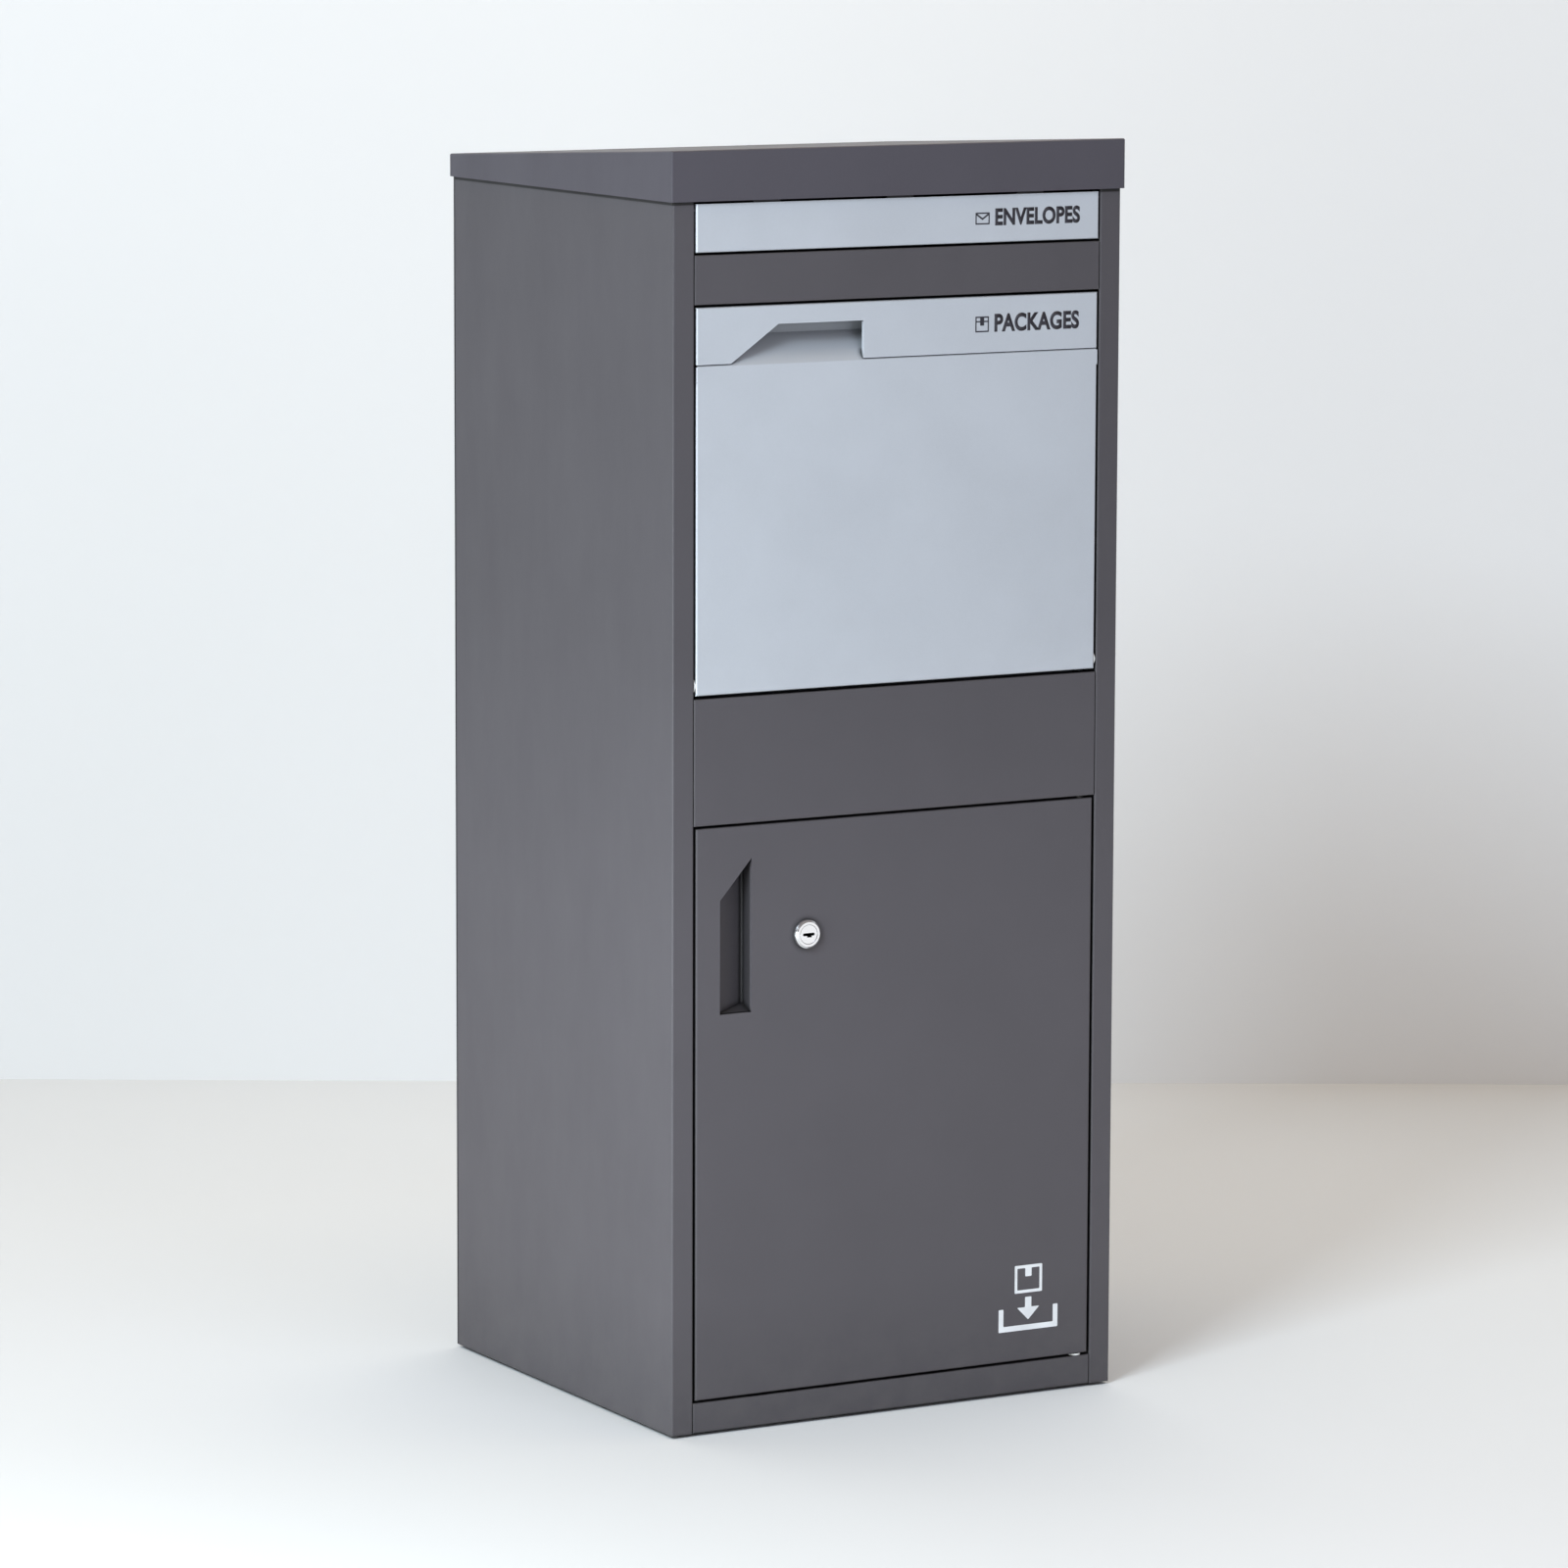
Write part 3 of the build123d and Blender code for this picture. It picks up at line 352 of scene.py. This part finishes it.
# The side panels' paint carries the painted shadow under the lid and the painted shade near the floor.
panel_coat = grey_coat("panel_coat", shaded=[painted_lid_shadow, painted_floor_shade])
scoop_shades = [painted_scoop_shade, painted_scoop_wall_shade, painted_scoop_floor_shade]
own_materials = {
    "door_handle_scoop": grey_coat("scoop_coat", GREY, 0.50, 0.0, 1.3, 1.0, scoop_shades),
    "top_cross_rail": grey_coat("rail_coat", GREY, 0.50, 0.20, 1.3, shaded=[painted_rail_shade]),
    "roof_lid": grey_coat("lid_coat", SHADED_LID_GREY, edge=1.5),
    "left_side_panel": panel_coat,
    "right_side_panel": panel_coat,
    "door_hinge_pins": oiled_steel("oiled_steel"),
    "lock_plug": chrome("plug_chrome", keyway_dirt_and_shade),
}
for name, material in own_materials.items():
    nodes[name].data.materials[0] = material

# ---- Printed labels -----------------------------------------------------------------------------
INK_FILM = 0.07 * MM
LETTER_WEIGHT = 0.036  # how far the font's outlines are fattened, in its own size
LETTER_STRETCH = 1.18  # the letters are narrow: taller than the font by this factor


def printed(name, curve, body, material, left, bottom, depth, width, right=None, stretch=1.0):
    """Makes a flat curve a thin film on a front face at that depth, fitted to a width and stretched up.

    The film starts at left or ends at right. Returns where it starts.
    """
    curve.dimensions = "2D"
    curve.fill_mode = "BOTH"
    source = bpy.data.objects.new(name + "_outline", curve)
    bpy.context.scene.collection.objects.link(source)
    bpy.context.view_layer.update()
    mesh = bpy.data.meshes.new_from_object(source.evaluated_get(bpy.context.evaluated_depsgraph_get()))
    bpy.data.objects.remove(source)
    xs = [v.co.x for v in mesh.vertices]
    ys = [v.co.y for v in mesh.vertices]
    size = Vector((max(xs) - min(xs), max(ys) - min(ys)))
    scale = width / size.x
    if right is not None:
        left = right - scale * size.x
    for v in mesh.vertices:
        x, y = scale * (v.co.x - min(xs)), scale * stretch * (v.co.y - min(ys))
        v.co = Vector((left + x, depth - INK_FILM, bottom + y))
    mesh.materials.clear()
    mesh.materials.append(material)
    piece = bpy.data.objects.new(name, mesh)
    bpy.context.scene.collection.objects.link(piece)
    film = piece.modifiers.new("film", "SOLIDIFY")
    film.thickness = INK_FILM
    film.offset = -1.0
    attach(piece, body)
    return left


def word(text):
    """A word in Blender's own font."""
    curve = bpy.data.curves.new(text, "FONT")
    curve.body = text
    curve.size = 1.0
    curve.offset = LETTER_WEIGHT
    curve.space_character = 1.02
    curve.resolution_u = 6
    return curve


CORNER_STEPS = 4


def outline(name, loops, rounding):
    """A flat curve whose outer loops are filled and whose inner loops are holes, with rounded corners."""
    curve = bpy.data.curves.new(name, "CURVE")
    for corners in loops:
        points = []
        count = len(corners)
        for i, corner in enumerate(corners):
            here = Vector(corner)
            before = (Vector(corners[i - 1]) - here).normalized()
            after = (Vector(corners[(i + 1) % count]) - here).normalized()
            start, end = here + rounding * before, here + rounding * after
            for step in range(CORNER_STEPS + 1):
                t = step / CORNER_STEPS
                points.append(start * (1 - t) ** 2 + here * 2 * t * (1 - t) + end * t ** 2)
        spline = curve.splines.new("POLY")
        spline.points.add(len(points) - 1)
        for target, point in zip(spline.points, points):
            target.co = (point.x, point.y, 0.0, 1.0)
        spline.use_cyclic_u = True
    return curve


def envelope():
    """An envelope seen from the back: a frame with the fold of its flap."""
    return [
        [(0, 0), (13, 0), (13, 9.4), (0, 9.4)],
        [(1.0, 1.0), (12.0, 1.0), (12.0, 7.3), (6.5, 3.5), (1.0, 7.3)],
        [(1.6, 8.4), (11.4, 8.4), (6.5, 5.0)],
    ]


def carton():
    """A carton seen from the front: a lid line and a strip of tape."""
    return [
        [(0, 0), (12.4, 0), (12.4, 12.4), (0, 12.4)],
        [(1.0, 1.0), (11.4, 1.0), (11.4, 7.9), (8.0, 7.9), (8.0, 5.2), (4.4, 5.2), (4.4, 7.9), (1.0, 7.9)],
        [(1.0, 8.9), (4.4, 8.9), (4.4, 11.4), (1.0, 11.4)],
        [(8.0, 8.9), (11.4, 8.9), (11.4, 11.4), (8.0, 11.4)],
    ]


def drop_sign():
    """A carton above an arrow that points down into a tray."""
    return [
        [(0, 0), (56, 0), (56, 19), (51.5, 19), (51.5, 4.5), (4.5, 4.5), (4.5, 19), (0, 19)],
        [(28, 8.5), (38.5, 19), (31, 19), (31, 27.5), (25, 27.5), (25, 19), (17.5, 19)],
        [(15, 31), (41, 31), (41, 54), (15, 54)],
        [
            (31, 44.5), (31, 51.5), (38.5, 51.5), (38.5, 33.5),
            (17.5, 33.5), (17.5, 51.5), (25, 51.5), (25, 44.5),
        ],
    ]


flap_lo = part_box("letter_flap")[0]
cap_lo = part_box("parcel_handle_cap")[0]
door_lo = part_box("door_skin")[0]
label_right = 165.8 * MM
label_width = 79.0 * MM
icon_gap = 5.2 * MM

# The heights of a word and of its icon are above the lowest corner of the piece that carries them
for body, corner, word_name, text, word_height, icon_name, icon, icon_width, icon_height in (
    ("letter_flap", flap_lo, "label_envelopes", "ENVELOPES", 13.3 * MM,
     "icon_envelope", outline("envelope", envelope(), 0.35), 13.0 * MM, 14.6 * MM),
    ("hopper", cap_lo, "label_packages", "PACKAGES", 15.9 * MM,
     "icon_carton", outline("carton", carton(), 0.3), 12.4 * MM, 16.2 * MM),
):
    letters_left = printed(word_name, word(text), body, dark_ink,
                           None, corner.z + word_height, corner.y, label_width, label_right, LETTER_STRETCH)
    printed(icon_name, icon, body, dark_ink,
            None, corner.z + icon_height, corner.y, icon_width, letters_left - icon_gap)
sign_left, sign_rise, sign_width = 98 * MM, 25 * MM, 56 * MM
printed("sign_drop", outline("drop_sign", drop_sign(), 0.8), "lower_door", white_ink,
        sign_left, door_lo.z + sign_rise, door_lo.y, sign_width)

# ---- Camera -------------------------------------------------------------------------------------
YAW, PITCH, ROLL = radians(29.3827), radians(8.3341), radians(0.1947)
CAMERA_PLACE = Vector((-2.8176, -5.0070, 1.3291))
FOCAL_LENGTH, SENSOR_WIDTH = 162.59, 36.0
forward = Vector((sin(YAW) * cos(PITCH), cos(YAW) * cos(PITCH), -sin(PITCH)))
level_right = Vector((cos(YAW), -sin(YAW), 0.0))
level_up = level_right.cross(forward)
right = cos(ROLL) * level_right + sin(ROLL) * level_up
up = cos(ROLL) * level_up - sin(ROLL) * level_right
camera = bpy.data.objects.new("camera", bpy.data.cameras.new("camera"))
camera.data.sensor_width = SENSOR_WIDTH
camera.data.lens = FOCAL_LENGTH
camera.data.clip_end = 100.0
camera.matrix_world = Matrix.Translation(CAMERA_PLACE) @ Matrix((right, up, -forward)).transposed().to_4x4()
bpy.context.scene.collection.objects.link(camera)
bpy.context.scene.camera = camera

# ---- Stage: a pale floor and a pale wall square to the view --------------------------------------
away = Vector((sin(YAW), cos(YAW), 0.0))
WALL_DISTANCE = 7.005
HALF_STAGE = 9.0
FLOOR_BEYOND_WALL = 6.0
WALL_HEIGHT = 5.0
FLOOR_COLOUR = (0.76, 0.77, 0.78)
WALL_COLOUR = (0.835, 0.845, 0.855)
wall_foot = Vector((CAMERA_PLACE.x, CAMERA_PLACE.y, 0.0)) + WALL_DISTANCE * away


def stage_sheet(name, corners, material):
    """One flat sheet of the stage, between four corners."""
    mesh = bpy.data.meshes.new(name)
    mesh.from_pydata([tuple(c) for c in corners], [], [(0, 1, 2, 3)])
    mesh.materials.append(material)
    made = bpy.data.objects.new(name, mesh)
    bpy.context.scene.collection.objects.link(made)
    made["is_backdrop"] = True
    return made


def studio_paint(name, colour, see_through_back):
    """Matt white studio paint. A wall seen from behind is clear, so it hides nothing in other views."""
    g = Graph(name)
    tone = g.remap(g.noise(1.3), 0.3, 0.7)
    base = g.blend(tone, shade(colour, 0.99), shade(colour, 1.01))
    shader = g.add("BsdfPrincipled", Roughness=0.85, IOR=1.3)
    g.put(shader, "Base Color", base)
    surface = shader.outputs["BSDF"]
    if see_through_back:
        mix = g.add("MixShader")
        g.put(mix, 0, g.add("NewGeometry").outputs["Backfacing"])
        g.put(mix, 1, surface)
        g.put(mix, 2, g.add("BsdfTransparent").outputs["BSDF"])
        surface = mix.outputs["Shader"]
    out = g.add("OutputMaterial")
    g.tree.links.new(surface, out.inputs["Surface"])
    return g.material


near_left = wall_foot - HALF_STAGE * level_right - 2 * HALF_STAGE * away
near_right = wall_foot + HALF_STAGE * level_right - 2 * HALF_STAGE * away
far_left = wall_foot - HALF_STAGE * level_right
far_right = wall_foot + HALF_STAGE * level_right
beyond = FLOOR_BEYOND_WALL * away
tall = Vector((0.0, 0.0, WALL_HEIGHT))
floor_paint = studio_paint("studio_floor", FLOOR_COLOUR, False)
wall_paint = studio_paint("studio_wall", WALL_COLOUR, True)
stage_sheet("studio_floor", (near_left, near_right, far_right + beyond, far_left + beyond), floor_paint)
stage_sheet("studio_wall", (far_left, far_right, far_right + tall, far_left + tall), wall_paint)


# ---- Light --------------------------------------------------------------------------------------
def softbox(name, place, target, size, power, colour):
    """A rectangular light of that power in watts, which points at the target and isn't seen itself."""
    light = bpy.data.lights.new(name, "AREA")
    light.shape = "RECTANGLE"
    light.size, light.size_y = size
    light.energy = power
    light.color = colour
    made = bpy.data.objects.new(name, light)
    made.location = place
    made.rotation_euler = (Vector(target) - Vector(place)).to_track_quat("-Z", "Y").to_euler()
    made.visible_camera = False
    bpy.context.scene.collection.objects.link(made)
    return made


def around(azimuth, distance, height):
    """A place round the object: azimuth 0 is towards the camera and grows towards the camera's left."""
    a = radians(azimuth)
    return distance * (-away * cos(a) - level_right * sin(a)) + Vector((0.0, 0.0, height))


middle = (0, 0, 0.5)
key_blue = (0.774, 0.895, 1.0)
softbox("key", around(28, 4.5, 3.6), middle, (1.6, 1.6), 203.0, key_blue)
softbox("low_reflector", around(32, 1.3, 0.35), middle, (0.7, 0.7), 4.3, (0.86, 1.0, 1.0))
softbox("overhead", (0, 0, 3.0), middle, (2.0, 2.0), 31.0, (1.0, 0.84, 0.60))
softbox("right_fill", around(-33, 2.2, 1.3), (0, 0, 0.6), (0.8, 1.4), 8.5, (0.80, 0.84, 1.0))

# Three fills light the object alone, so that its far sides show and the stage keeps its tones
object_only = bpy.data.collections.new("object_only")
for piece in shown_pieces():
    object_only.objects.link(piece)
for name, place, size, power in (
    ("side_fill", (2.6, 0.9, 1.5), 1.6, 60.0),
    ("back_fill", (0.4, 3.0, 1.6), 1.6, 60.0),
    ("low_fill", around(34, 1.3, 0.38), 0.6, 5.5),
):
    fill = softbox(name, place, middle, (size, size), power, (0.92, 0.96, 1.0))
    fill.light_linking.receiver_collection = object_only

# A white card in front of the lock and to its right, which only the lock mirrors
lock_only = bpy.data.collections.new("lock_only")
for name in ("lock_barrel", "lock_plug"):
    lock_only.objects.link(nodes[name])
plug_lo, plug_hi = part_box("lock_plug")
lock_middle = (Vector(plug_lo) + Vector(plug_hi)) / 2
card_place = lock_middle + Vector((0.55, -0.95, -0.1))
card = softbox("lock_card", card_place, lock_middle, (0.42, 0.42), 0.26, (1.0, 1.0, 1.0))
card.light_linking.receiver_collection = lock_only

WORLD_COLOUR, WORLD_STRENGTH = (1.0, 0.93, 0.92), 0.30
world = bpy.data.worlds.new("studio")
world.use_nodes = True
backdrop = world.node_tree.nodes["Background"]
backdrop.inputs["Color"].default_value = (*WORLD_COLOUR, 1.0)
backdrop.inputs["Strength"].default_value = WORLD_STRENGTH
bpy.context.scene.world = world
bpy.context.scene.view_settings.view_transform = "Standard"
